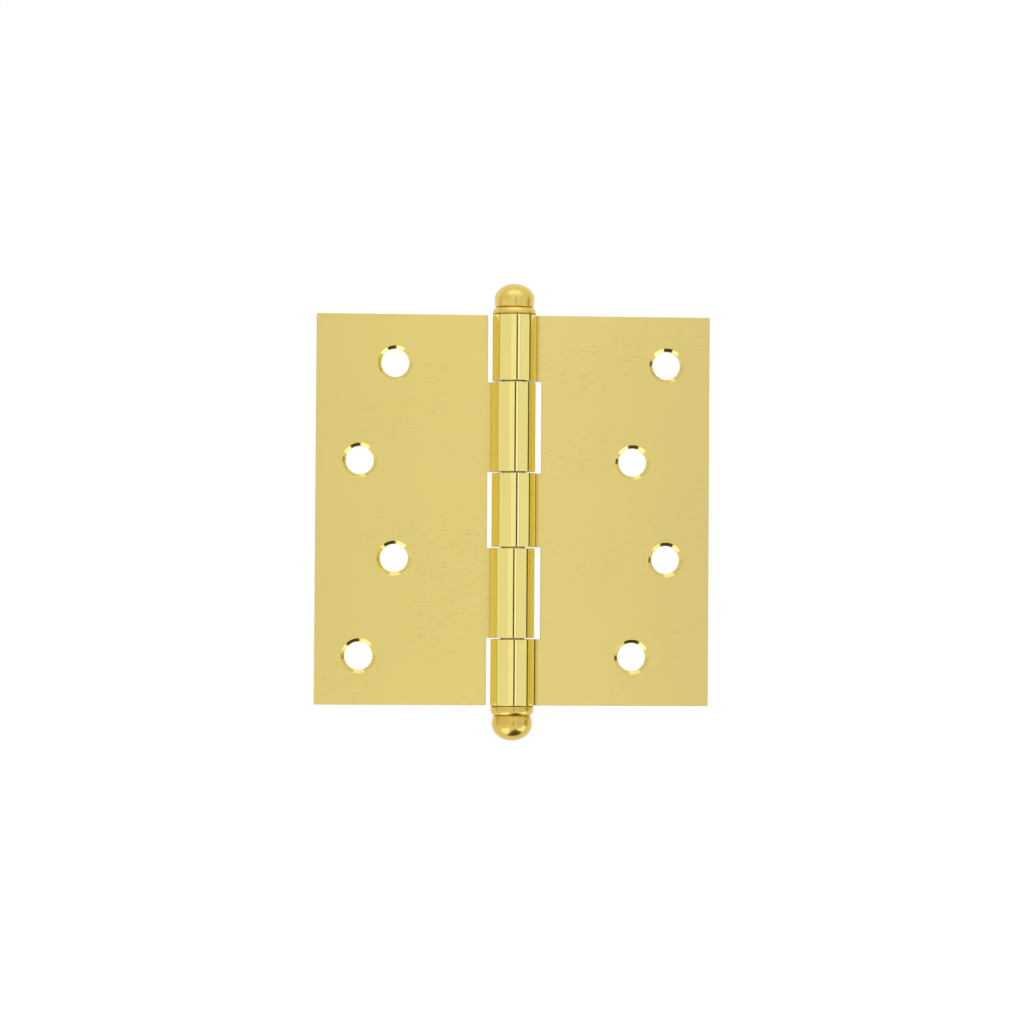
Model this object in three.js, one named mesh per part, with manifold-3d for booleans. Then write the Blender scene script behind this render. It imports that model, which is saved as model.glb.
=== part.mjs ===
// A five-knuckle butt hinge for a door, with a loose pin and ball tips, open flat.
// Millimetres. +Z runs up the pin axis, +X points to the three-knuckle leaf and +Y to the side that
// lies against the wood. The origin is on the pin axis, at the middle of the leaves' height.
import * as THREE from "three";
import { mergeVertices } from "three/addons/utils/BufferGeometryUtils.js";
import Module from "manifold-3d";

// Leaves, each stamped from one strip and rolled round the pin
const HEIGHT = 101.6; // 4 in
const REACH = 51.4; // pin axis to a leaf's outer edge
const SHEET = 2.5; // thickness of the strip
const SET_BACK = 0.75; // pin axis to the countersunk face: the leaves close on a gap of twice this
const SWAGE_TURN = 40; // degrees by which the strip bends back to meet the barrel
const SWAGE_R = 5; // radius of that bend, at mid-thickness
const SEAM = 0.2; // slit between the rolled end and the countersunk face

// Pin and the bore rolled round it
const PIN_R = 3.175; // 1/4 in pin
const PIN_PLAY = 0.05; // radial running clearance
const BORE_R = PIN_R + PIN_PLAY;
const BARREL_R = BORE_R + SHEET;

// Knuckles, from the top down, with a slit between each two
const SLIT = 0.35;
const END_KNUCKLE = 17.2;
const INNER_KNUCKLE = 23.3;
const MIDDLE_KNUCKLE = HEIGHT - 2 * END_KNUCKLE - 2 * INNER_KNUCKLE - 4 * SLIT;
const KNUCKLES = [END_KNUCKLE, INNER_KNUCKLE, MIDDLE_KNUCKLE, INNER_KNUCKLE, END_KNUCKLE];
const NOTCH_X = { three: 7.4, two: 6.75 }; // pin axis to the edge of the cut-outs

// Screw holes, countersunk from the front in a zigzag
const SCREWS = 4; // in each leaf
const SCREW_PITCH = 25.4;
const SCREW_X = { three: [40.1, 31.3], two: [30.9, 39.95] }; // the top screw's column, then the other
const SCREW_R = 3.675;
const SINK_R = 4.55;
const SINK_SLOPE = Math.tan((50 * Math.PI) / 180); // half of a 100 degree countersink

// Ball tips: a collar that seats on the knuckle, a groove, and a ball whose lower edge turns in to it.
// Radii, and heights from the seat.
const SEAT_GAP = 0.05; // between a tip and the knuckle it sits on
const TOP_TIP = {
  collar: { r: 5.63, edge: 0.2, rim: 0.2, top: 0.5 },
  groove: 1.9,
  ball: { r: 5.18, z: 4.1, under: 7.5, dome: 4, lip: 0.4 },
};
const BOTTOM_TIP = {
  collar: { r: 5.58, edge: 0.3, rim: 0.6, top: 1.2 },
  groove: 2.5,
  ball: { r: 5.23, z: 4.75, under: 5.8, dome: 4.35, lip: 0.4 },
};

// Joints between the tips, the pin and the barrel
const STUB_R = 2.4; // threaded end of the pin
const STUB_LENGTH = 5.4;
const TAPPED_R = 2.5;
const TAPPED_DEPTH = 5.9;
const PLUG_R = 3.18; // shank of the bottom tip, in the lowest knuckle's bore
const PLUG_LENGTH = 12;
const END_CHAMFER = 0.5;
const END_GAP = 0.2; // between the pin's foot and the plug

const FACET = 10; // degrees turned by each flat of a round surface
const ROUND = 360 / FACET;
const PAST = 1; // how far a cutter runs past the face it opens

const wasm = await Module();
wasm.setup();

const radians = (degrees) => (degrees * Math.PI) / 180;

// Points on an arc about (x, y), both ends included.
function arc(x, y, rx, ry, from, to) {
  const count = Math.max(2, Math.ceil(Math.abs(to - from) / FACET));
  return Array.from({ length: count + 1 }, (_, i) => {
    const angle = radians(from + ((to - from) * i) / count);
    return new THREE.Vector2(x + rx * Math.cos(angle), y + ry * Math.sin(angle));
  });
}

function solid(geometry) {
  geometry.deleteAttribute("normal");
  geometry.deleteAttribute("uv");
  const merged = mergeVertices(geometry, 1e-4);
  const vertProperties = new Float32Array(merged.attributes.position.array);
  const triVerts = new Uint32Array(merged.index.array);
  return new wasm.Manifold(new wasm.Mesh({ numProp: 3, vertProperties, triVerts }));
}

function geometryOf(made) {
  const { vertProperties, triVerts } = made.getMesh();
  const geometry = new THREE.BufferGeometry();
  geometry.setAttribute("position", new THREE.BufferAttribute(vertProperties, 3));
  geometry.setIndex(new THREE.BufferAttribute(triVerts, 1));
  geometry.computeVertexNormals();
  return geometry;
}

// The strip seen from above: flat, bent back by the swage, then rolled round the bore until its end
// meets the countersunk face.
function stripSection() {
  const middle = SET_BACK + SHEET / 2;
  const rollR = BORE_R + SHEET / 2;
  const sine = Math.sin(radians(SWAGE_TURN));
  const cosine = Math.cos(radians(SWAGE_TURN));
  const straight = (rollR * cosine - middle - SWAGE_R * (1 - cosine)) / sine;
  const swageX = (rollR + SWAGE_R) * sine + straight * cosine;
  const swageY = middle + SWAGE_R;
  const rollFrom = 90 - SWAGE_TURN;
  const rollTo = 360 + THREE.MathUtils.radToDeg(Math.asin((SET_BACK - SEAM) / BARREL_R));
  const swage = (r) => arc(swageX, swageY, r, r, -90, -90 - SWAGE_TURN);
  return [
    new THREE.Vector2(REACH, SET_BACK),
    ...swage(SWAGE_R + SHEET / 2),
    ...arc(0, 0, BORE_R, BORE_R, rollFrom, rollTo),
    ...arc(0, 0, BARREL_R, BARREL_R, rollTo, rollFrom),
    ...swage(SWAGE_R - SHEET / 2).reverse(),
    new THREE.Vector2(REACH, SET_BACK + SHEET),
  ];
}

// Each knuckle's lowest and highest z, from the top one down.
function knuckleSpans() {
  let top = HEIGHT / 2;
  return KNUCKLES.map((length) => {
    const span = { low: top - length, high: top };
    top = span.low - SLIT;
    return span;
  });
}

function screwCutter(x, z) {
  const back = SET_BACK + SHEET + PAST;
  const sinkDepth = (SINK_R - SCREW_R) / SINK_SLOPE;
  const profile = [
    new THREE.Vector2(0, SET_BACK - PAST),
    new THREE.Vector2(SINK_R + PAST * SINK_SLOPE, SET_BACK - PAST),
    new THREE.Vector2(SCREW_R, SET_BACK + sinkDepth),
    new THREE.Vector2(SCREW_R, back),
    new THREE.Vector2(0, back),
  ];
  return solid(new THREE.LatheGeometry(profile, ROUND).translate(x, 0, z));
}

// The space that the other leaf's knuckle turns in.
function notchCutter(side, edge, span) {
  const width = edge + BARREL_R + PAST;
  const depth = 2 * (BARREL_R + PAST);
  const height = span.high - span.low + 2 * SLIT;
  const box = new THREE.BoxGeometry(width, depth, height);
  return solid(box.translate(side * (edge - width / 2), 0, (span.high + span.low) / 2));
}

// side is 1 for the leaf towards +X and -1 for the other. own tells which knuckles it is rolled into.
function leaf(side, notchX, screwX, own) {
  const outline = stripSection().map((p) => new THREE.Vector2(side * p.x, p.y));
  const strip = new THREE.ExtrudeGeometry(new THREE.Shape(outline), {
    depth: HEIGHT,
    bevelEnabled: false,
  });
  let made = solid(strip.translate(0, 0, -HEIGHT / 2));
  knuckleSpans().forEach((span, i) => {
    if (!own(i)) made = made.subtract(notchCutter(side, notchX, span));
  });
  for (let i = 0; i < SCREWS; i += 1) {
    const z = ((SCREWS - 1) / 2 - i) * SCREW_PITCH;
    made = made.subtract(screwCutter(side * screwX[i % 2], z));
  }
  return geometryOf(made);
}

// A turned piece: its profile gives radius and height, and its axis is +Z.
function turned(profile) {
  return new THREE.LatheGeometry(profile, ROUND).rotateX(Math.PI / 2);
}

// The outside of a ball tip, from its seat at z = 0 out to the top of the ball.
function tipOutline({ collar, groove, ball }) {
  const lipZ = groove + ball.lip;
  const lipTurn = Math.asin((lipZ - ball.z) / ball.under);
  const grooveR = ball.r * Math.cos(lipTurn) - ball.lip;
  return [
    ...arc(collar.r - collar.edge, collar.rim, collar.edge, collar.rim, -90, 0),
    ...arc(grooveR, collar.top, collar.r - grooveR, groove - collar.top, 0, 75),
    ...arc(grooveR, lipZ, ball.lip, ball.lip, -75, 0),
    ...arc(0, ball.z, ball.r, ball.under, THREE.MathUtils.radToDeg(lipTurn), 0).slice(1),
    ...arc(0, ball.z, ball.r, ball.dome, 0, 90).slice(1, -1),
    new THREE.Vector2(0, ball.z + ball.dome),
  ];
}

function topTip() {
  return turned([
    new THREE.Vector2(0, TAPPED_DEPTH),
    new THREE.Vector2(TAPPED_R, TAPPED_DEPTH),
    new THREE.Vector2(TAPPED_R, 0),
    ...tipOutline(TOP_TIP),
  ]);
}

function bottomTip() {
  return turned([
    new THREE.Vector2(0, -PLUG_LENGTH),
    new THREE.Vector2(PLUG_R - END_CHAMFER, -PLUG_LENGTH),
    new THREE.Vector2(PLUG_R, END_CHAMFER - PLUG_LENGTH),
    new THREE.Vector2(PLUG_R, 0),
    ...tipOutline(BOTTOM_TIP),
  ]);
}

function pin() {
  const foot = PLUG_LENGTH - SEAT_GAP + END_GAP - HEIGHT / 2;
  const shoulder = HEIGHT / 2;
  const end = shoulder + STUB_LENGTH;
  return turned([
    new THREE.Vector2(0, foot),
    new THREE.Vector2(PIN_R - END_CHAMFER, foot),
    new THREE.Vector2(PIN_R, foot + END_CHAMFER),
    new THREE.Vector2(PIN_R, shoulder),
    new THREE.Vector2(STUB_R, shoulder),
    new THREE.Vector2(STUB_R, end - END_CHAMFER),
    new THREE.Vector2(STUB_R - END_CHAMFER, end),
    new THREE.Vector2(0, end),
  ]);
}

const metal = (color, roughness) =>
  new THREE.MeshStandardMaterial({ color, roughness, metalness: 1 });
const brushedBrass = () => metal(0xe1ce7e, 0.35);
const turnedBrass = () => metal(0xd8b560, 0.25);
const platedSteel = () => metal(0xc9b06a, 0.3);

const hinge = new THREE.Group();

function add(name, geometry, material, z = 0) {
  const mesh = new THREE.Mesh(geometry, material);
  mesh.name = name;
  mesh.position.z = z;
  hinge.add(mesh);
  return mesh;
}

const isOdd = (i) => i % 2 === 1;
const isEven = (i) => !isOdd(i);
add("three_knuckle_leaf", leaf(1, NOTCH_X.three, SCREW_X.three, isEven), brushedBrass());
add("two_knuckle_leaf", leaf(-1, NOTCH_X.two, SCREW_X.two, isOdd), brushedBrass());
add("hinge_pin", pin(), platedSteel());
add("top_ball_tip", topTip(), turnedBrass(), HEIGHT / 2 + SEAT_GAP);
const bottom = add("bottom_ball_tip", bottomTip(), turnedBrass(), -HEIGHT / 2 - SEAT_GAP);
bottom.rotation.x = Math.PI;

export default hinge;
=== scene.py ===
import math

import bpy
import numpy as np
from mathutils import Matrix, Vector
from mathutils.geometry import tessellate_polygon


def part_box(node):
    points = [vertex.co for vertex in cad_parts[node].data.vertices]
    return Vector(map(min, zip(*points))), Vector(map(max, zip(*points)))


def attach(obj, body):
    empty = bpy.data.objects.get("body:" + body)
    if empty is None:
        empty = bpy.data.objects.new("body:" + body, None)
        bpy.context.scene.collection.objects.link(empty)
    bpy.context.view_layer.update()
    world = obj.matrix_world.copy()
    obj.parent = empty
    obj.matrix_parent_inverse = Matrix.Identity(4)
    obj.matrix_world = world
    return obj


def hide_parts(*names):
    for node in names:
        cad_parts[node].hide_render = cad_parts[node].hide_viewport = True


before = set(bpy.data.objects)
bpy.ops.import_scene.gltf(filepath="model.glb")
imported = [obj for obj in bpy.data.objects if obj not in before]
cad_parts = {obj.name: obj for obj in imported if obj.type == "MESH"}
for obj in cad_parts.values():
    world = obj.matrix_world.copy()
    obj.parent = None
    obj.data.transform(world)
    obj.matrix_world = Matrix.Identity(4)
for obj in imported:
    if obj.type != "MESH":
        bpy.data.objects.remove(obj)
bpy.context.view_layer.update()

# Lengths are in millimetres until a mesh is made.
MM = 0.001
NEAR = 1e-6  # closer than this is the same place


def half_extent(node, axis):
    """How far a node reaches from the origin along one axis, in millimetres."""
    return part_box(node)[1][axis] / MM


# ---- Sizes, the CAD's own where it has them -------------------------------------------------
REACH = half_extent("three_knuckle_leaf", 0)
HALF_HEIGHT = half_extent("three_knuckle_leaf", 2)
SHEET = 2.5
SET_BACK = 0.75
MIDDLE = SET_BACK + SHEET / 2
SWAGE_TURN = math.radians(40)
SWAGE_R = 5
PIN_R = 3.175
BORE_R = 3.225
ROLL_R = BORE_R + SHEET / 2
BARREL_R = BORE_R + SHEET

SLIT = 0.35
END_KNUCKLE = 17.2
INNER_KNUCKLE = 23.3
MIDDLE_KNUCKLE = 2 * HALF_HEIGHT - 2 * END_KNUCKLE - 2 * INNER_KNUCKLE - 4 * SLIT
KNUCKLES = (END_KNUCKLE, INNER_KNUCKLE, MIDDLE_KNUCKLE, INNER_KNUCKLE, END_KNUCKLE)
NOTCH_X = {"three": 7.4, "two": 6.75}
# How far each rolled end stops short of the countersunk face, from the top knuckle down.
SEAMS = (0.12, 0.08, 0.16, 0.08, 0.45)
# How far each knuckle leans out of round, in degrees, from the top down. The lean starts, is full,
# starts to fade and ends at these angles round the roll.
LEANS = (2.0, -1.7, 3.4, -3.0, -0.6)
LEAN_ANGLES = (0, 60, 270, 310)

SCREW_PITCH = 25.4
SCREW_COUNT = 4
SCREW_X = {"three": (40.1, 31.3), "two": (30.9, 39.95)}  # the top screw's column, then the other
SCREW_R = 3.675
SINK_R = 4.55
SINK_SLOPE = math.tan(math.radians(50))  # half of a 100 degree countersink

EDGE_R = 0.12  # rounding of the sheared edges
CORNER_R = 0.32  # square corners, just broken
NOTCH_CORNER_R = 0.4
HOLE_EDGE_R = 0.1
BORE_EDGE = 0.3  # chamfer at the mouth of the tapped hole
DRILL_POINT = 0.4
SHOULDER_EDGE = 0.2  # chamfer of the pin's shoulder

SEAT_GAP = 0.05  # between a tip and the knuckle it sits on
# Ball tips: radii, and heights from the seat
TOP_TIP = {
    "collar": {"r": 5.63, "edge": 0.2, "rim": 0.2, "top": 0.5},
    "groove": 1.9,
    "ball": {"r": 5.18, "z": 4.1, "under": 7.5, "dome": 4, "lip": 0.4},
}
BOTTOM_TIP = {
    "collar": {"r": 5.58, "edge": 0.3, "rim": 0.6, "top": 1.2},
    "groove": 2.5,
    "ball": {"r": 5.23, "z": 4.75, "under": 5.8, "dome": 4.35, "lip": 0.4},
}
GROOVE_TURN = 78  # degrees that a tip's collar and lip turn in to the groove
STUB_R = 2.4  # the pin's end, inside the top tip
STUB_LENGTH = 5.4
TAPPED_R = 2.5
TAPPED_DEPTH = 5.9
PLUG_R = 3.18  # shank of the bottom tip, in the lowest knuckle's bore
PLUG_LENGTH = 12
END_CHAMFER = 0.5
END_GAP = 0.2  # between the pin's foot and the plug

# Painted shade, and soiling on the sheared edges: from 0 where the metal keeps its own colour to 1
# where it is black
# Painted shade: the dark line in the seam where each rolled end meets its leaf.
SEAM_SHADE = (0.62, 0.0, 0.75, 0.0, 1.0)  # at each rolled end, from the top knuckle down
SEAM_SHADE_AT = BARREL_R + 0.27  # from the pin axis
SEAM_SHADE_WIDTH = 0.25
# Painted shade on the leaf next to the barrel, where the barrel shades it.
BARREL_SIDE_SHADE = {"three": 0.5, "two": 0.1}  # on the leaf next to the barrel
# Painted shade on the knuckles' end faces, in the slits between them.
KNUCKLE_END_SHADE = 0.75
EDGE_GRIME = 0.35
# How much darker the walls of each screw hole are.
HOLE_DARKENING = 0.25
HOLE_DARKENING_RISE = 4  # how fast it sets in as a hole's edge turns away from either face
# Painted shadow on a tip where it sits on its knuckle.
SEAT_SHADOW = {"top": 0.75, "bottom": 0.4}  # on a tip, where it sits on its knuckle
SEAT_SHADOW_WIDTH = 0.3
# Painted shade in a tip's groove under the ball.
GROOVE_SHADE = 0.25
GROOVE_SHADE_WIDTH = 0.35
# Painted shade all over a tip, more on the bottom one.
TIP_SHADE = {"top": 0.07, "bottom": 0.24}  # all over a tip

# How finely the meshes are divided
ROUND_STEPS = 144  # round a turned piece
HOLE_STEPS = 72  # round a screw hole
ROLL_STEP = math.radians(2.5)
ARC_STEP = 3  # degrees
SEAM_STRIP = 1.4  # past the start of the swage, where the columns are close
SEAM_STEP = 0.12
SWAGE_COLUMNS = 8
CORNER_STEPS = 8
HOLE_EDGE_RINGS = 4
SHARP = math.radians(32)  # a turned piece's edges sharper than this stay sharp


def new_object(name, points, faces):
    """A mesh object in the scene, from points in metres."""
    mesh = bpy.data.meshes.new(name)
    mesh.from_pydata(points, [], faces)
    made = bpy.data.objects.new(name, mesh)
    bpy.context.collection.objects.link(made)
    return made


# ---- Materials -------------------------------------------------------------------------------
CLOUD_SCALE = 60.0
CLOUD_TONE = 0.985  # the darker of a brass's two tones
# Painted light falloff: lighter near the pin, darker towards the leaves' outer edges.
LIGHT_FALLOFF_REACH = (0.008, 0.052)  # metres from the pin axis, sideways
LIGHT_FALLOFF_TONE = (1.02, 0.92)
SCRATCH_TONE = 0.83
SHADE_AND_GRIME_ROUGHNESS = 0.2
# The colours that the painted shade and the edge soiling multiply the brass by.
SHADE_AND_GRIME_TONES = ((0.0, (1, 1, 1)), (0.5, (0.74, 0.64, 0.3)), (1.0, (0.06, 0.03, 0.01)))

# Grains are noise scales along x, y and z. A range is where in the noise a mark starts and is full.
BRUSH_GRAIN = (120, 120, 5200)
BRUSH_BUMP = (0.15, 0.00002)  # strength, and metres
BRUSH_ROUGHNESS = (0.85, 1.15)
SCRATCH_GRAIN = (360, 360, 5800)
SCRATCH_RANGE = (0.64, 0.8)
PATCH_GRAIN = (30, 30, 60)
PATCH_RANGE = (0.4, 0.72)
WAVE_GRAIN = (260, 260, 90)
WAVE_BUMP = (0.05, 0.0001)
WAVE_ROUGHNESS = (0.7, 1.3)
HAIRLINE_GRAIN = (300, 300, 5000)
HAIRLINE_RANGE = (0.76, 0.8)
HAIRLINE_STRENGTH = (0, 0.1)


def material(name):
    """A new node material, its Principled shader, and helpers that add a node and link two."""
    made = bpy.data.materials.new(name)
    made.use_nodes = True
    tree = made.node_tree
    shader = tree.nodes["Principled BSDF"]

    def node(kind, **settings):
        added = tree.nodes.new(kind)
        for key, value in settings.items():
            if key in added.inputs:
                added.inputs[key].default_value = value
            else:
                setattr(added, key, value)
        return added

    return made, shader, node, tree.links.new


def ramp(node, stops):
    """Sets a Color Ramp's stops from (position, colour) pairs."""
    elements = node.color_ramp.elements
    while len(elements) < len(stops):
        elements.new(0.5)
    for element, (position, colour) in zip(elements, stops):
        element.position = position
        element.color = (*colour, 1)


def brass(name, colour, roughness, finish):
    """Brass with faint colour variation, painted light falloff away from the pin, scratches, and
    darkening where the mesh says so: painted shade, and soiling on the sheared edges.
    """
    made, shader, node, link = material(name)
    shader.inputs["Metallic"].default_value = 1.0
    place = node("ShaderNodeTexCoord")
    clouds = node("ShaderNodeTexNoise", Scale=CLOUD_SCALE, Detail=3.0)
    link(place.outputs["Object"], clouds.inputs["Vector"])
    tone = node("ShaderNodeValToRGB")
    ramp(tone, [(0.3, [c * CLOUD_TONE for c in colour]), (0.7, colour)])
    link(clouds.outputs["Fac"], tone.inputs["Fac"])
    # Painted light falloff: a little lighter near the pin and darker away from it.
    apart = node("ShaderNodeSeparateXYZ")
    link(place.outputs["Object"], apart.inputs["Vector"])
    reach = node("ShaderNodeMath", operation="ABSOLUTE")
    link(apart.outputs["X"], reach.inputs[0])
    falloff_shaded = node("ShaderNodeVectorMath", operation="SCALE")
    link(tone.outputs["Color"], falloff_shaded.inputs["Vector"])
    fade = between(node, link, reach.outputs["Value"], LIGHT_FALLOFF_REACH, LIGHT_FALLOFF_TONE)
    link(fade, falloff_shaded.inputs["Scale"])
    level, scratches = finish(shader, node, link, place, roughness)
    scratch_colour = (*(c * SCRATCH_TONE for c in colour), 1)
    scratched = node("ShaderNodeMix", data_type="RGBA", B=scratch_colour)
    link(scratches, scratched.inputs["Factor"])
    link(falloff_shaded.outputs["Vector"], scratched.inputs["A"])
    # Painted shade and soiling, from the mesh.
    grime = node("ShaderNodeAttribute", attribute_name="grime")
    shade_and_grime_tone = node("ShaderNodeValToRGB")
    ramp(shade_and_grime_tone, SHADE_AND_GRIME_TONES)
    link(grime.outputs["Fac"], shade_and_grime_tone.inputs["Fac"])
    shaded_and_grimed = node("ShaderNodeMix", data_type="RGBA", blend_type="MULTIPLY", Factor=1.0)
    link(scratched.outputs["Result"], shaded_and_grimed.inputs["A"])
    link(shade_and_grime_tone.outputs["Color"], shaded_and_grimed.inputs["B"])
    link(shaded_and_grimed.outputs["Result"], shader.inputs["Base Color"])
    dulled = node("ShaderNodeMix", data_type="FLOAT", B=SHADE_AND_GRIME_ROUGHNESS)
    link(grime.outputs["Fac"], dulled.inputs["Factor"])
    link(level, dulled.inputs["A"])
    link(dulled.outputs["Result"], shader.inputs["Roughness"])
    return made


def noise(node, link, place, scale, detail=0.0):
    """Noise over the object, drawn out by a scale along each axis."""
    stretch = node("ShaderNodeMapping", Scale=scale)
    link(place.outputs["Object"], stretch.inputs["Vector"])
    grain = node("ShaderNodeTexNoise", Scale=1.0, Detail=detail)
    link(stretch.outputs["Vector"], grain.inputs["Vector"])
    return grain.outputs["Fac"]


def between(node, link, value, given, wanted=(0, 1)):
    """Maps one range of a value onto another."""
    level = node("ShaderNodeMapRange")
    for name, limit in zip(("From Min", "From Max", "To Min", "To Max"), (*given, *wanted)):
        level.inputs[name].default_value = limit
    link(value, level.inputs["Value"])
    return level.outputs["Result"]


def raised(shader, node, link, height, bump_size):
    """Bumps the surface by a height."""
    strength, distance = bump_size
    bump = node("ShaderNodeBump", Strength=strength, Distance=distance)
    link(height, bump.inputs["Height"])
    link(bump.outputs["Normal"], shader.inputs["Normal"])


def brushed(shader, node, link, place, roughness):
    """Fine horizontal brush marks, with patches of short scratches among them."""
    grain = noise(node, link, place, BRUSH_GRAIN, 4.0)
    dashes = between(node, link, noise(node, link, place, SCRATCH_GRAIN), SCRATCH_RANGE)
    patches = between(node, link, noise(node, link, place, PATCH_GRAIN), PATCH_RANGE)
    scratches = node("ShaderNodeMath", operation="MULTIPLY")
    link(dashes, scratches.inputs[0])
    link(patches, scratches.inputs[1])
    height = node("ShaderNodeMath", operation="SUBTRACT")
    link(grain, height.inputs[0])
    link(scratches.outputs["Value"], height.inputs[1])
    raised(shader, node, link, height.outputs["Value"], BRUSH_BUMP)
    level = between(node, link, grain, (0, 1), [roughness * share for share in BRUSH_ROUGHNESS])
    return level, scratches.outputs["Value"]


def polished(shader, node, link, place, roughness):
    """A buffed surface, with a trace of waviness and a few hairlines."""
    waves = noise(node, link, place, WAVE_GRAIN, 2.0)
    raised(shader, node, link, waves, WAVE_BUMP)
    level = between(node, link, waves, (0, 1), [roughness * share for share in WAVE_ROUGHNESS])
    lines = noise(node, link, place, HAIRLINE_GRAIN)
    return level, between(node, link, lines, HAIRLINE_RANGE, HAIRLINE_STRENGTH)


PLATE = brass("brushed_brass", (0.81, 0.667, 0.206), 0.38, brushed)
BARREL = brass("polished_brass", (0.884, 0.755, 0.25), 0.06, polished)
TURNED = (0.77, 0.59, 0.158)
TOP_TURNED = brass("top_turned_brass", TURNED, 0.28, polished)
BOTTOM_TURNED = brass("bottom_turned_brass", TURNED, 0.22, polished)
PIN = brass("plated_pin", (0.5, 0.41, 0.2), 0.35, polished)


# ---- Leaves: a blank with its holes and notches, then bent as the press does ------------------
# s runs along the strip from the leaf's outer edge to the rolled end, z up, and w through the
# thickness from the countersunk face at -SHEET / 2 to the back at SHEET / 2.
SINE, COSINE = math.sin(SWAGE_TURN), math.cos(SWAGE_TURN)
RAMP_LENGTH = (ROLL_R * COSINE - MIDDLE - SWAGE_R * (1 - COSINE)) / SINE
SWAGE_X = (ROLL_R + SWAGE_R) * SINE + RAMP_LENGTH * COSINE
S_SWAGE = REACH - SWAGE_X
S_RAMP = S_SWAGE + SWAGE_R * SWAGE_TURN
S_ROLL = S_RAMP + RAMP_LENGTH
ROLL_FROM = math.pi / 2 - SWAGE_TURN


def bend(s):
    """Where a point of the strip's middle ends up, seen from above, and which way it heads."""
    s = np.asarray(s, float)
    turn = np.clip((s - S_SWAGE) / SWAGE_R, 0, SWAGE_TURN)
    on_ramp = np.clip(s - S_RAMP, 0, RAMP_LENGTH)
    x = REACH - np.minimum(s, S_SWAGE) - SWAGE_R * np.sin(turn) - on_ramp * COSINE
    y = MIDDLE + SWAGE_R * (1 - np.cos(turn)) + on_ramp * SINE
    angle = ROLL_FROM + (s - S_ROLL) / ROLL_R
    rolled = s > S_ROLL
    x = np.where(rolled, ROLL_R * np.cos(angle), x)
    y = np.where(rolled, ROLL_R * np.sin(angle), y)
    along_x = np.where(rolled, -np.sin(angle), -np.cos(turn))
    along_y = np.where(rolled, np.cos(angle), np.sin(turn))
    return np.stack([x, y], -1), np.stack([along_x, along_y], -1)


def roll_end(seam):
    """The strip's length when its rolled end stops seam short of the countersunk face."""
    angle = 2 * math.pi + math.asin((SET_BACK - seam) / BARREL_R)
    return S_ROLL + (angle - ROLL_FROM) * ROLL_R


def bend_columns(start, end):
    """Where a knuckle's strip has its columns, close where it bends and closer in the seam."""
    seam = np.arange(start, S_SWAGE + SEAM_STRIP, SEAM_STEP)
    swage = np.linspace(seam[-1], S_RAMP, SWAGE_COLUMNS + 1)[1:]
    count = math.ceil((end - S_ROLL) / (ROLL_R * ROLL_STEP))
    roll = np.linspace(S_ROLL, end - CORNER_R, count)
    return np.concatenate([seam, swage, roll])


def by_knuckle(heights, values):
    """Each height's value, from one value for each knuckle, and 0 in the slits."""
    found = np.zeros(len(heights))
    for (low, high), value in zip(knuckle_spans(), values):
        found[(heights > low - NEAR) & (heights < high + NEAR)] = value
    return found


def seam_grime(outline, root, kind):
    """How much painted shade the front of the strip gets at each outline point: in the seam by its own
    rolled end, and on the leaf next to the barrel.
    """
    seam = by_knuckle(outline[:, 1], SEAM_SHADE)
    away = (REACH - SEAM_SHADE_AT - outline[:, 0]) / SEAM_SHADE_WIDTH
    shade = np.interp(outline[:, 0], [root, REACH - BARREL_R], [0, BARREL_SIDE_SHADE[kind]])
    return np.maximum(seam * np.exp(-(away**2)), shade)


def lean(points, normals):
    """Turns a rolled knuckle's normals as if it were a little out of round."""
    angle = (points[:, 0] - S_ROLL) / ROLL_R
    share = np.interp(angle, np.radians(LEAN_ANGLES), [0, 1, 1, 0])
    turn = -np.radians(by_knuckle(points[:, 1], LEANS)) * share
    x, y = normals[:, 0], normals[:, 1]
    leaning_x = x * np.cos(turn) - y * np.sin(turn)
    leaning_y = x * np.sin(turn) + y * np.cos(turn)
    return np.column_stack([leaning_x, leaning_y, normals[:, 2]])


def knuckle_spans():
    """Each knuckle's lowest and highest z, from the top one down."""
    spans, top = [], HALF_HEIGHT
    for length in KNUCKLES:
        spans.append((top - length, top))
        top -= length + SLIT
    return spans


def rounded(corners, columns):
    """A closed outline through (s, z, radius) corners, with extra points on a knuckle's long edges.

    columns gives, for a stretch that runs along s at a height z, the places of those points."""
    outline = []
    count = len(corners)
    for i, (s, z, radius) in enumerate(corners):
        here = np.array([s, z])
        before = np.array(corners[i - 1][:2]) - here
        after = np.array(corners[(i + 1) % count][:2]) - here
        before /= np.linalg.norm(before)
        after /= np.linalg.norm(after)
        centre = here + radius * (before + after)
        start, end = -after * radius, -before * radius
        for k in range(CORNER_STEPS + 1):
            turn = math.pi / 2 * k / CORNER_STEPS
            outline.append(centre + start * math.cos(turn) + end * math.sin(turn))
        next_s, next_z, next_radius = corners[(i + 1) % count]
        if abs(next_z - z) < NEAR:
            first, step = outline[-1][0], np.sign(next_s - s)
            for column in sorted(columns(z), reverse=bool(step < 0)):
                past_first = (column - first) * step > NEAR
                if past_first and (next_s - column) * step > next_radius + NEAR:
                    outline.append(np.array([column, z]))
    return np.array(outline)


def outward(outline):
    """Each point's outward direction on a counter-clockwise outline, scaled to offset it by 1."""
    ahead = np.roll(outline, -1, 0) - outline
    ahead /= np.linalg.norm(ahead, axis=1, keepdims=True)
    behind = np.roll(ahead, 1, 0)
    normal = np.stack([ahead[:, 1] + behind[:, 1], -ahead[:, 0] - behind[:, 0]], 1)
    unit = normal / np.linalg.norm(normal, axis=1, keepdims=True)
    half = np.sum(unit * np.stack([ahead[:, 1], -ahead[:, 0]], 1), 1, keepdims=True)
    return unit, unit / half


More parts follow.
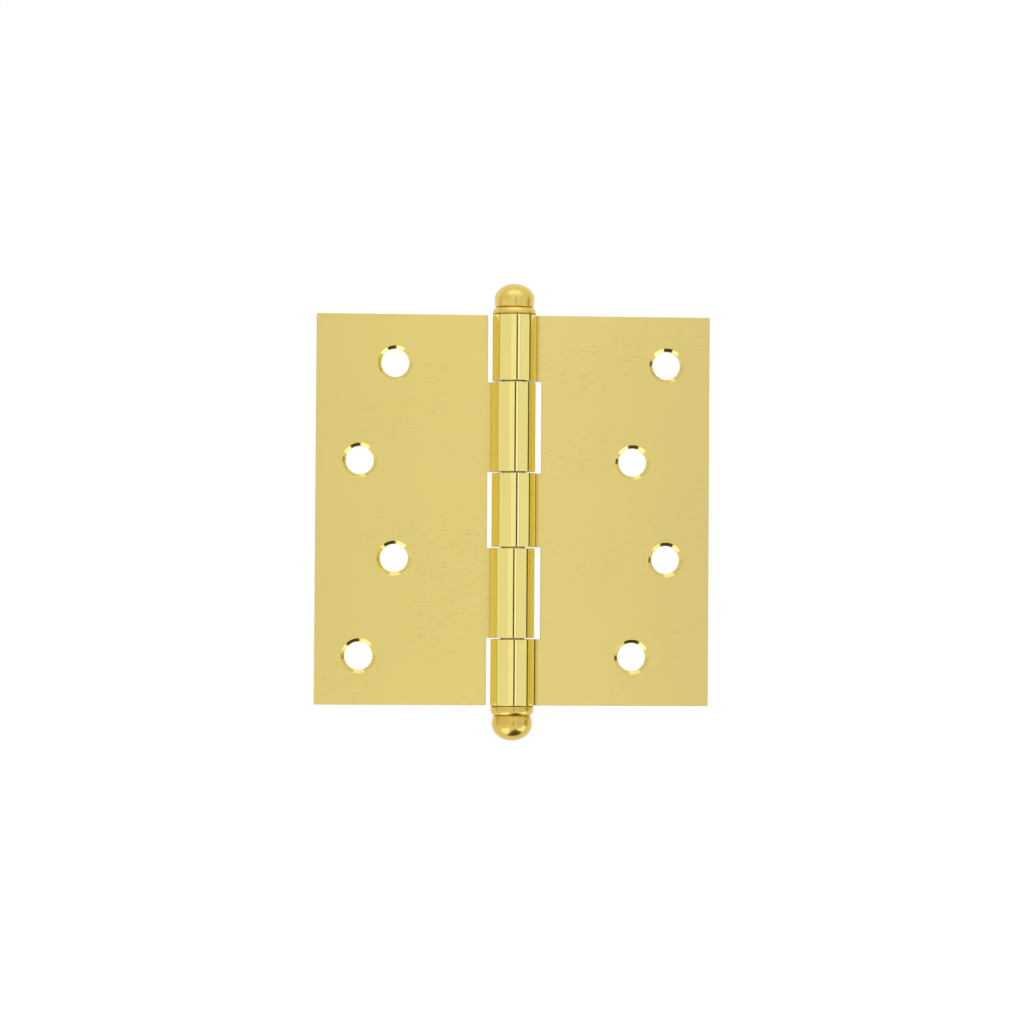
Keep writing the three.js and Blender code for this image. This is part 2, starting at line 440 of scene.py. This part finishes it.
class Skin:
    """A closed surface: points with their own normals, and faces with a material slot each."""

    def __init__(self):
        self.points, self.normals, self.grime, self.faces, self.slots = [], [], [], [], []

    def ring(self, points, normals, grime):
        """Adds points, and returns their numbers."""
        start = len(self.points)
        self.points.extend(points)
        self.normals.extend(normals)
        self.grime.extend(grime)
        return list(range(start, len(self.points)))

    def face(self, corners, slot=0):
        """Adds a face by its points' numbers."""
        self.faces.append(tuple(corners))
        self.slots.append(slot)

    def band(self, lower, upper, slots=None):
        """Joins two closed rings of the same length."""
        count = len(lower)
        for i in range(count):
            j = (i + 1) % count
            self.face((lower[i], lower[j], upper[j], upper[i]), slots[i] if slots else 0)

    def build(self, name, materials):
        """The Blender object, in metres, faces outward, shaded by its own normals."""
        made = new_object(name, [Vector(p) * MM for p in self.points], self.faces)
        mesh = made.data
        mesh.polygons.foreach_set("material_index", self.slots)
        for metal in materials:
            mesh.materials.append(metal)
        turn_outward(mesh)
        mesh.shade_smooth()
        mesh.attributes.new("grime", "FLOAT", "POINT").data.foreach_set("value", self.grime)
        mesh.normals_split_custom_set_from_vertices([Vector(n).normalized() for n in self.normals])
        return made


def turn_outward(mesh):
    """Flips a closed mesh's faces if they point in, which makes its volume negative."""
    mesh.calc_loop_triangles()
    points = np.array([v.co for v in mesh.vertices])
    corners = np.array([t.vertices for t in mesh.loop_triangles])
    a, b, c = (points[corners[:, i]] for i in range(3))
    if np.sum(a * np.cross(b, c)) < 0:
        mesh.flip_normals()


def edge_profile():
    """Inset, height and outward tilt of the rings over a sheared edge, front to back."""
    quarter = [math.radians(a) for a in (0, 30, 60, 90)]
    rings = []
    for a in quarter:
        rings.append((EDGE_R * (1 - math.sin(a)), EDGE_R * (1 - math.cos(a)) - SHEET / 2, a))
    for inset, w, a in reversed(rings[:]):
        rings.append((inset, -w, math.pi - a))
    return rings


def hole_profile():
    """Radius, height and normal of the rings down a countersunk hole, front to back."""
    front, back = -SHEET / 2, SHEET / 2
    sink_depth = (SINK_R - SCREW_R) / SINK_SLOPE
    facing = math.pi / 2 - math.atan(SINK_SLOPE)
    # Each corner: where it is, and how far the surface before and after it faces the axis.
    corners = [
        (SINK_R, front, 0, facing),
        (SCREW_R, front + sink_depth, facing, math.pi / 2),
        (SCREW_R, back, math.pi / 2, math.pi),
    ]
    rings = []
    for radius, w, start, end in corners:
        middle, half = (start + end) / 2, (end - start) / 2
        reach = HOLE_EDGE_R / math.cos(half)
        centre_r, centre_w = radius + reach * math.sin(middle), w + reach * math.cos(middle)
        for a in np.linspace(start, end, HOLE_EDGE_RINGS):
            ring_r, ring_w = centre_r - HOLE_EDGE_R * math.sin(a), centre_w - HOLE_EDGE_R * math.cos(a)
            rings.append((ring_r, ring_w, a))
    return rings


def blank_corners(own, spans, ends, notch):
    """The blank's corners, counter-clockwise: out along the lower end and up the barrel side."""
    last = len(spans) - 1
    corners = [(0, -HALF_HEIGHT, CORNER_R)]
    for i in range(last, -1, -1):
        if i not in own:
            continue
        low, high = spans[i]
        if i != last:
            corners.append((notch, low, NOTCH_CORNER_R))
        corners.append((ends[i], low, CORNER_R))
        corners.append((ends[i], high, CORNER_R))
        if i != 0:
            corners.append((notch, high, NOTCH_CORNER_R))
    if last not in own:
        corners.insert(1, (notch, -HALF_HEIGHT, CORNER_R))
    if 0 not in own:
        corners.append((notch, HALF_HEIGHT, CORNER_R))
    corners.append((0, HALF_HEIGHT, CORNER_R))
    return corners


def pierce(skin, kind):
    """Adds the screw holes to a flat skin, and returns each one's rings, front to back."""
    angles = np.linspace(0, 2 * math.pi, HOLE_STEPS, endpoint=False)
    circle = np.column_stack([np.cos(angles), np.sin(angles)])
    holes = []
    for i in range(SCREW_COUNT):
        hole_z = ((SCREW_COUNT - 1) / 2 - i) * SCREW_PITCH
        centre = np.array([REACH - SCREW_X[kind][i % 2], hole_z])
        rings = []
        for radius, w, tilt in hole_profile():
            points = np.column_stack([centre + circle * radius, np.full(len(circle), w)])
            normals = np.column_stack(
                [-circle * math.sin(tilt), np.full(len(circle), -math.cos(tilt))]
            )
            # None on either face, so that the plate round the hole is not darkened.
            turn = min(tilt, math.pi - tilt)
            grime = HOLE_DARKENING * min(1, HOLE_DARKENING_RISE * turn)
            rings.append(skin.ring(points, normals, np.full(len(circle), grime)))
        for lower, upper in zip(rings, rings[1:]):
            skin.band(lower, upper, [1] * len(circle))
        holes.append(rings)
    return holes


def press(skin, side):
    """Bends and rolls a flat skin. A side of -1 makes the leaf that lies towards -X."""
    flat_points = np.array(skin.points)
    flat_normals = np.array(skin.normals)
    place, along = bend(flat_points[:, 0])
    back = np.column_stack([along[:, 1], -along[:, 0]])
    spot = place + back * flat_points[:, 2:]
    facing = along * flat_normals[:, :1] + back * flat_normals[:, 2:]
    skin.points = np.column_stack([side * spot[:, 0], spot[:, 1], flat_points[:, 1]])
    skin.normals = np.column_stack([side * facing[:, 0], facing[:, 1], flat_normals[:, 1]])
    make_consistent(skin)
    skin.normals = lean(flat_points, skin.normals)


def leaf(name, side, kind, own):
    """One leaf: a sheared and pierced blank, bent and rolled into its own knuckles."""
    notch = REACH - NOTCH_X[kind]
    root = notch + NOTCH_CORNER_R
    spans = knuckle_spans()
    ends = {i: roll_end(SEAMS[i]) for i in own}

    def columns(z):
        for i in own:
            if min(abs(z - spans[i][0]), abs(z - spans[i][1])) < NEAR:
                return bend_columns(root, ends[i])
        return []

    outline = rounded(blank_corners(own, spans, ends, notch), columns)
    unit, offset = outward(outline)
    skin = Skin()
    rings = []
    for inset, w, tilt in edge_profile():
        flat = outline - offset * inset
        points = np.column_stack([flat, np.full(len(flat), w)])
        normals = np.column_stack([unit * math.sin(tilt), np.full(len(flat), -math.cos(tilt))])
        # Painted shade on the front face: in the seam and next to the barrel.
        in_seam = seam_grime(outline, root, kind) if w < 0 else 0
        # Painted shade on the knuckles' end faces in the slits; soiling on the other sheared edges.
        sheared = math.sin(tilt) * np.where(outline[:, 0] > root, KNUCKLE_END_SHADE, EDGE_GRIME)
        rings.append(skin.ring(points, normals, np.maximum(sheared, in_seam)))
    on_barrel = outline[:, 0] > REACH - BARREL_R
    slots = [int(on_barrel[i] and on_barrel[(i + 1) % len(outline)]) for i in range(len(outline))]
    for lower, upper in zip(rings, rings[1:]):
        skin.band(lower, upper, slots)

    holes = pierce(skin, kind)

    # The two faces: each knuckle's strip column by column, then the plate round its holes.
    tabs = []
    inside = np.zeros(len(outline), bool)
    for i in own:
        low, high = spans[i]
        mine = [
            k
            for k, (s, z) in enumerate(outline)
            if s > root - NEAR and low - NEAR < z < high + NEAR
        ]
        mine.sort(key=lambda k: outline[k][0])
        middle = (low + high) / 2
        lower = [k for k in mine if outline[k][1] < middle]
        upper = [k for k in mine if outline[k][1] > middle]
        tabs.append((lower, upper))
        inside[lower[1:]] = True
        inside[upper[1:]] = True
    plate = [k for k in range(len(outline)) if not inside[k]]
    for ring, face in ((rings[0], 0), (rings[-1], -1)):
        for lower, upper in tabs:
            for k in range(len(lower) - 1):
                slot = int(on_barrel[lower[k]])
                quad = (lower[k], lower[k + 1], upper[k + 1], upper[k])
                skin.face([ring[v] for v in quad], slot)
        loops = [[ring[k] for k in plate]] + [hole[face] for hole in holes]
        polygons = [[Vector((*skin.points[v][:2], 0)) for v in loop] for loop in loops]
        numbers = [v for loop in loops for v in loop]
        for triangle in tessellate_polygon(polygons):
            skin.face([numbers[v] for v in triangle])

    press(skin, side)
    return skin.build(name, [PLATE, BARREL])


def make_consistent(skin):
    """Turns each face so that it agrees with its points' normals."""
    points, normals = np.array(skin.points), np.array(skin.normals)
    turned_faces = []
    for face in skin.faces:
        corners = points[list(face)]
        area = np.zeros(3)
        for i in range(1, len(face) - 1):
            area += np.cross(corners[i] - corners[0], corners[i + 1] - corners[0])
        if area @ normals[list(face)].sum(0) < 0:
            face = face[::-1]
        turned_faces.append(face)
    skin.faces = turned_faces


# ---- Turned pieces --------------------------------------------------------------------------
def arc(centre, rx, ry, start, end):
    """Points on an arc of an ellipse, both ends included, as (radius, height). Degrees."""
    count = max(2, math.ceil(abs(end - start) / ARC_STEP))
    turns = np.radians(np.linspace(start, end, count + 1))
    return [(centre[0] + rx * math.cos(t), centre[1] + ry * math.sin(t)) for t in turns]


def turned(name, profile, base, flip, made_of, shade_bands=(), shade_all_over=0):
    """A piece turned about the pin axis. Its profile gives radius and height from base.

    The bands list heights that get painted shade, each with how much and how widely, and the last
    argument is painted shade that lies all over."""
    angles = np.linspace(0, 2 * math.pi, ROUND_STEPS, endpoint=False)
    direction = -1 if flip else 1
    points, rows, painted_shade = [], [], []
    for radius, height in profile:
        z = base + direction * height
        here = max([shade_all_over] + [g * math.exp(-(((height - h) / w) ** 2)) for h, g, w in shade_bands])
        on_axis = radius < NEAR
        painted_shade.extend([here] * (1 if on_axis else ROUND_STEPS))
        if on_axis:
            rows.append([len(points)])
            points.append((0, 0, z))
        else:
            rows.append(list(range(len(points), len(points) + ROUND_STEPS)))
            points.extend((radius * math.cos(a), radius * math.sin(a), z) for a in angles)
    faces = []
    for lower, upper in zip(rows, rows[1:]):
        for i in range(ROUND_STEPS):
            j = (i + 1) % ROUND_STEPS
            if len(lower) == 1:
                faces.append((lower[0], upper[j], upper[i]))
            elif len(upper) == 1:
                faces.append((lower[i], lower[j], upper[0]))
            else:
                faces.append((lower[i], lower[j], upper[j], upper[i]))
    made = new_object(name, [Vector(p) * MM for p in points], faces)
    mesh = made.data
    turn_outward(mesh)
    mesh.shade_smooth()
    mesh.set_sharp_from_angle(angle=SHARP)
    mesh.attributes.new("grime", "FLOAT", "POINT").data.foreach_set("value", painted_shade)
    mesh.materials.append(made_of)
    return made


def tip_outline(tip):
    """The outside of a ball tip, from its seat out to the top of the ball."""
    collar, groove, ball = tip["collar"], tip["groove"], tip["ball"]
    lip_z = groove + ball["lip"]
    lip_turn = math.asin((lip_z - ball["z"]) / ball["under"])
    groove_r = ball["r"] * math.cos(lip_turn) - ball["lip"]
    collar_r, edge, rim, collar_top = collar["r"], collar["edge"], collar["rim"], collar["top"]
    points = arc((collar_r - edge, rim), edge, rim, -90, 0)
    points += arc((groove_r, collar_top), collar_r - groove_r, groove - collar_top, 0, GROOVE_TURN)
    points += arc((groove_r, lip_z), ball["lip"], ball["lip"], -GROOVE_TURN, 0)
    points += arc((0, ball["z"]), ball["r"], ball["under"], math.degrees(lip_turn), 0)[1:]
    points += arc((0, ball["z"]), ball["r"], ball["dome"], 0, 90)[1:-1]
    points.append((0, ball["z"] + ball["dome"]))
    return points


def tip_shade_bands(tip, at_seat):
    """Painted shade on a tip, a shadow at its seat and shade in its groove: height, how much, and how
    widely.
    """
    return ((0, at_seat, SEAT_SHADOW_WIDTH), (tip["groove"], GROOVE_SHADE, GROOVE_SHADE_WIDTH))


def top_tip():
    """The top ball tip, with the tapped hole that screws on the pin."""
    bore = [
        (0, TAPPED_DEPTH),
        (TAPPED_R, TAPPED_DEPTH - DRILL_POINT),
        (TAPPED_R, BORE_EDGE),
        (TAPPED_R + BORE_EDGE, 0),
    ]
    profile = bore + tip_outline(TOP_TIP)
    painted_shade = tip_shade_bands(TOP_TIP, SEAT_SHADOW["top"])
    base = HALF_HEIGHT + SEAT_GAP
    return turned("top_tip", profile, base, False, TOP_TURNED, painted_shade, TIP_SHADE["top"])


def bottom_tip():
    """The bottom ball tip, with the shank that is pressed in the lowest knuckle."""
    shank = [
        (0, -PLUG_LENGTH),
        (PLUG_R - END_CHAMFER, -PLUG_LENGTH),
        (PLUG_R, END_CHAMFER - PLUG_LENGTH),
        (PLUG_R, 0),
    ]
    profile = shank + tip_outline(BOTTOM_TIP)
    painted_shade = tip_shade_bands(BOTTOM_TIP, SEAT_SHADOW["bottom"])
    base = -HALF_HEIGHT - SEAT_GAP
    return turned("bottom_tip", profile, base, True, BOTTOM_TURNED, painted_shade, TIP_SHADE["bottom"])


def hinge_pin():
    """The pin, from its foot above the bottom tip's shank to the stub inside the top tip."""
    foot = PLUG_LENGTH - SEAT_GAP + END_GAP - HALF_HEIGHT
    end = HALF_HEIGHT + STUB_LENGTH
    profile = [
        (0, foot),
        (PIN_R - END_CHAMFER, foot),
        (PIN_R, foot + END_CHAMFER),
        (PIN_R, HALF_HEIGHT - SHOULDER_EDGE),
        (PIN_R - SHOULDER_EDGE, HALF_HEIGHT),
        (STUB_R, HALF_HEIGHT),
        (STUB_R, end - END_CHAMFER),
        (STUB_R - END_CHAMFER, end),
        (0, end),
    ]
    return turned("pin", profile, 0, False, PIN)


THREE_LEAF = leaf("three_knuckle_plate", 1, "three", (0, 2, 4))
TWO_LEAF = leaf("two_knuckle_plate", -1, "two", (1, 3))
# Each piece, the body it rides on, the node it stands for, and its slot.
PIECES = (
    (THREE_LEAF, "fixed_leaf", "three_knuckle_leaf", "leaf_brass"),
    (TWO_LEAF, "swing_leaf", "two_knuckle_leaf", "leaf_brass"),
    (hinge_pin(), "pin", "hinge_pin", "pin_steel"),
    (top_tip(), "top_tip", "top_ball_tip", "tip_brass"),
    (bottom_tip(), "fixed_leaf", "bottom_ball_tip", "tip_brass"),
)
for piece, body, stands_for, slot in PIECES:
    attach(piece, body)
    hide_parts(stands_for)


# ---- Studio -----------------------------------------------------------------------------------
LOWER_BALL = (0, 0, -(HALF_HEIGHT + BOTTOM_TIP["ball"]["z"]) * MM)
FLOOR_REACH = 4.0
FLOOR_Z = -0.3
FLOOR_GLOW = 0.18
WORLD_FROM, WORLD_TO = -0.2, 0.4  # from the camera's side of the sky to the far side
WORLD_NEAR, WORLD_FAR = 0.88, 1.0  # how bright it is there


def screen(name, corners, distance, strength, colour=(1, 1, 1), about=(0, 0, 0)):
    """A flat panel, bright or dark, that shows only in what the hinge reflects.

    Its corners are directions from about: degrees from straight in front towards +X, and degrees
    up from level. Its distance is in metres."""
    ways = []
    for azimuth, elevation in corners:
        a, e = math.radians(azimuth), math.radians(elevation)
        ways.append(Vector((math.sin(a) * math.cos(e), -math.cos(a) * math.cos(e), math.sin(e))))
    facing = sum(ways, Vector()).normalized()
    points = [Vector(about) + way * (distance / way.dot(facing)) for way in ways]
    made = new_object(name, points, [range(len(points))])
    lit = bpy.data.materials.new(name)
    lit.use_nodes = True
    tree = lit.node_tree
    tree.nodes.clear()
    glow = tree.nodes.new("ShaderNodeEmission")
    glow.inputs["Color"].default_value = (*colour, 1)
    glow.inputs["Strength"].default_value = strength
    out = tree.nodes.new("ShaderNodeOutputMaterial")
    tree.links.new(glow.outputs["Emission"], out.inputs["Surface"])
    made.data.materials.append(lit)
    made.visible_camera = False
    made.visible_diffuse = False
    made.visible_shadow = False


def upright(left, right, reach):
    """The corners of an upright panel between two azimuths, reach degrees up and down."""
    return [(left, -reach), (right, -reach), (right, reach), (left, reach)]


def sky():
    """A white world, a little dimmer behind the camera."""
    world = bpy.data.worlds.new("studio")
    bpy.context.scene.world = world
    world.use_nodes = True
    tree = world.node_tree
    background = tree.nodes["Background"]
    direction = tree.nodes.new("ShaderNodeTexCoord")
    split = tree.nodes.new("ShaderNodeSeparateXYZ")
    tree.links.new(direction.outputs["Generated"], split.inputs[0])
    shade = tree.nodes.new("ShaderNodeMapRange")
    shade.inputs["From Min"].default_value = WORLD_FROM
    shade.inputs["From Max"].default_value = WORLD_TO
    shade.inputs["To Min"].default_value = WORLD_NEAR
    shade.inputs["To Max"].default_value = WORLD_FAR
    tree.links.new(split.outputs["Y"], shade.inputs["Value"])
    tree.links.new(shade.outputs["Result"], background.inputs["Strength"])
    background.inputs["Color"].default_value = (1, 1, 1, 1)


def white_floor():
    """A floor as white as the background, below the hinge."""
    corners = [(x * FLOOR_REACH, y * FLOOR_REACH, 0) for x, y in ((-1, -1), (1, -1), (1, 1), (-1, 1))]
    floor = new_object("floor", corners, [(0, 1, 2, 3)])
    floor.location.z = FLOOR_Z
    made, shader, _, _ = material("floor")
    shader.inputs["Base Color"].default_value = (0.9, 0.9, 0.9, 1)
    shader.inputs["Roughness"].default_value = 0.9
    shader.inputs["Specular IOR Level"].default_value = 0.1
    shader.inputs["Emission Color"].default_value = (1, 1, 1, 1)
    shader.inputs["Emission Strength"].default_value = FLOOR_GLOW
    floor.data.materials.append(made)


def screens():
    """The panels that the metal reflects."""
    # In the barrel, from the leaf on the left round to the leaf on the right.
    screen("left_rim", upright(-97, -91, 40), 1.0, 0.75, (0.84, 0.66, 0.2))
    screen("left_edge", upright(-91, -88, 8), 1.0, 0.6, (1, 0.85, 0.4))
    screen("left_panel", upright(-24, 2.5, 40), 1.2, 1.01, (1, 1, 1.04))
    screen("gap", upright(3, 10.5, 7.5), 1.1, 0.08, (1, 0.9, 0.4))
    screen("key_panel", upright(12.5, 20, 30), 1.15, 1.25, (1, 0.93, 1.5))
    screen("key_edge", upright(20, 23.5, 8), 1.15, 0.7)
    screen("side_panel", upright(20, 78, 40), 1.2, 0.9, (0.98, 1.02, 1.03))
    screen("right_edge", upright(78, 87.5, 8), 1.0, 0.1, (1, 0.9, 0.4))
    screen("right_rim", upright(87.5, 99, 40), 1.0, 0.9, (0.84, 0.67, 0.2))
    # In the tips and countersinks: a panel above, a light far round to the right, and a dark stand
    # below with light on both sides.
    screen("top_panel", [(-50, 30), (44, 30), (60, 72), (-66, 72)], 0.9, 1.45, (1, 1, 1.1))
    screen("side_light", [(60, -24), (84, -24), (84, -42), (60, -42)], 0.33, 2.2, (1, 1, 1.2))
    foot = [(20, -36), (84, -46), (102, -62), (-120, -72), (-14, -58)]
    screen("foot", foot, 0.17, 0.1, (1, 0.8, 0.6), LOWER_BALL)
    low_left = [(-79, -31), (-19, -23), (-20, -58), (-92, -68)]
    screen("low_left", low_left, 0.18, 1.7, (1, 1, 1.45), LOWER_BALL)
    low_right = [(20, -33), (80, -18), (84, -36), (72, -46)]
    screen("low_right", low_right, 0.18, 1.75, (1, 1, 1.45), LOWER_BALL)


sky()
white_floor()
screens()

# ---- Camera: square on, a little to the left of the hinge and below its middle ----------------
CAMERA_DISTANCE = 0.9
CAMERA_SIDE = math.radians(4.5)
CAMERA_HEIGHT = -0.02
CAMERA_ROLL = math.radians(0.38)
LENS_MM = 121.6
SENSOR_MM = 36
CLIP_END = 50
AIM = Vector((-0.0003, 0, -0.0005))

camera_data = bpy.data.cameras.new("camera")
camera_data.lens = LENS_MM
camera_data.sensor_width = SENSOR_MM
camera_data.clip_end = CLIP_END
camera = bpy.data.objects.new("camera", camera_data)
bpy.context.collection.objects.link(camera)
spot = Vector((-math.sin(CAMERA_SIDE), -math.cos(CAMERA_SIDE), 0)) * CAMERA_DISTANCE
spot.z = CAMERA_HEIGHT
look = (AIM - spot).to_track_quat("-Z", "Y").to_matrix().to_4x4()
camera.matrix_world = Matrix.Translation(spot) @ look @ Matrix.Rotation(CAMERA_ROLL, 4, "Z")
bpy.context.scene.camera = camera
bpy.context.scene.view_settings.view_transform = "Standard"
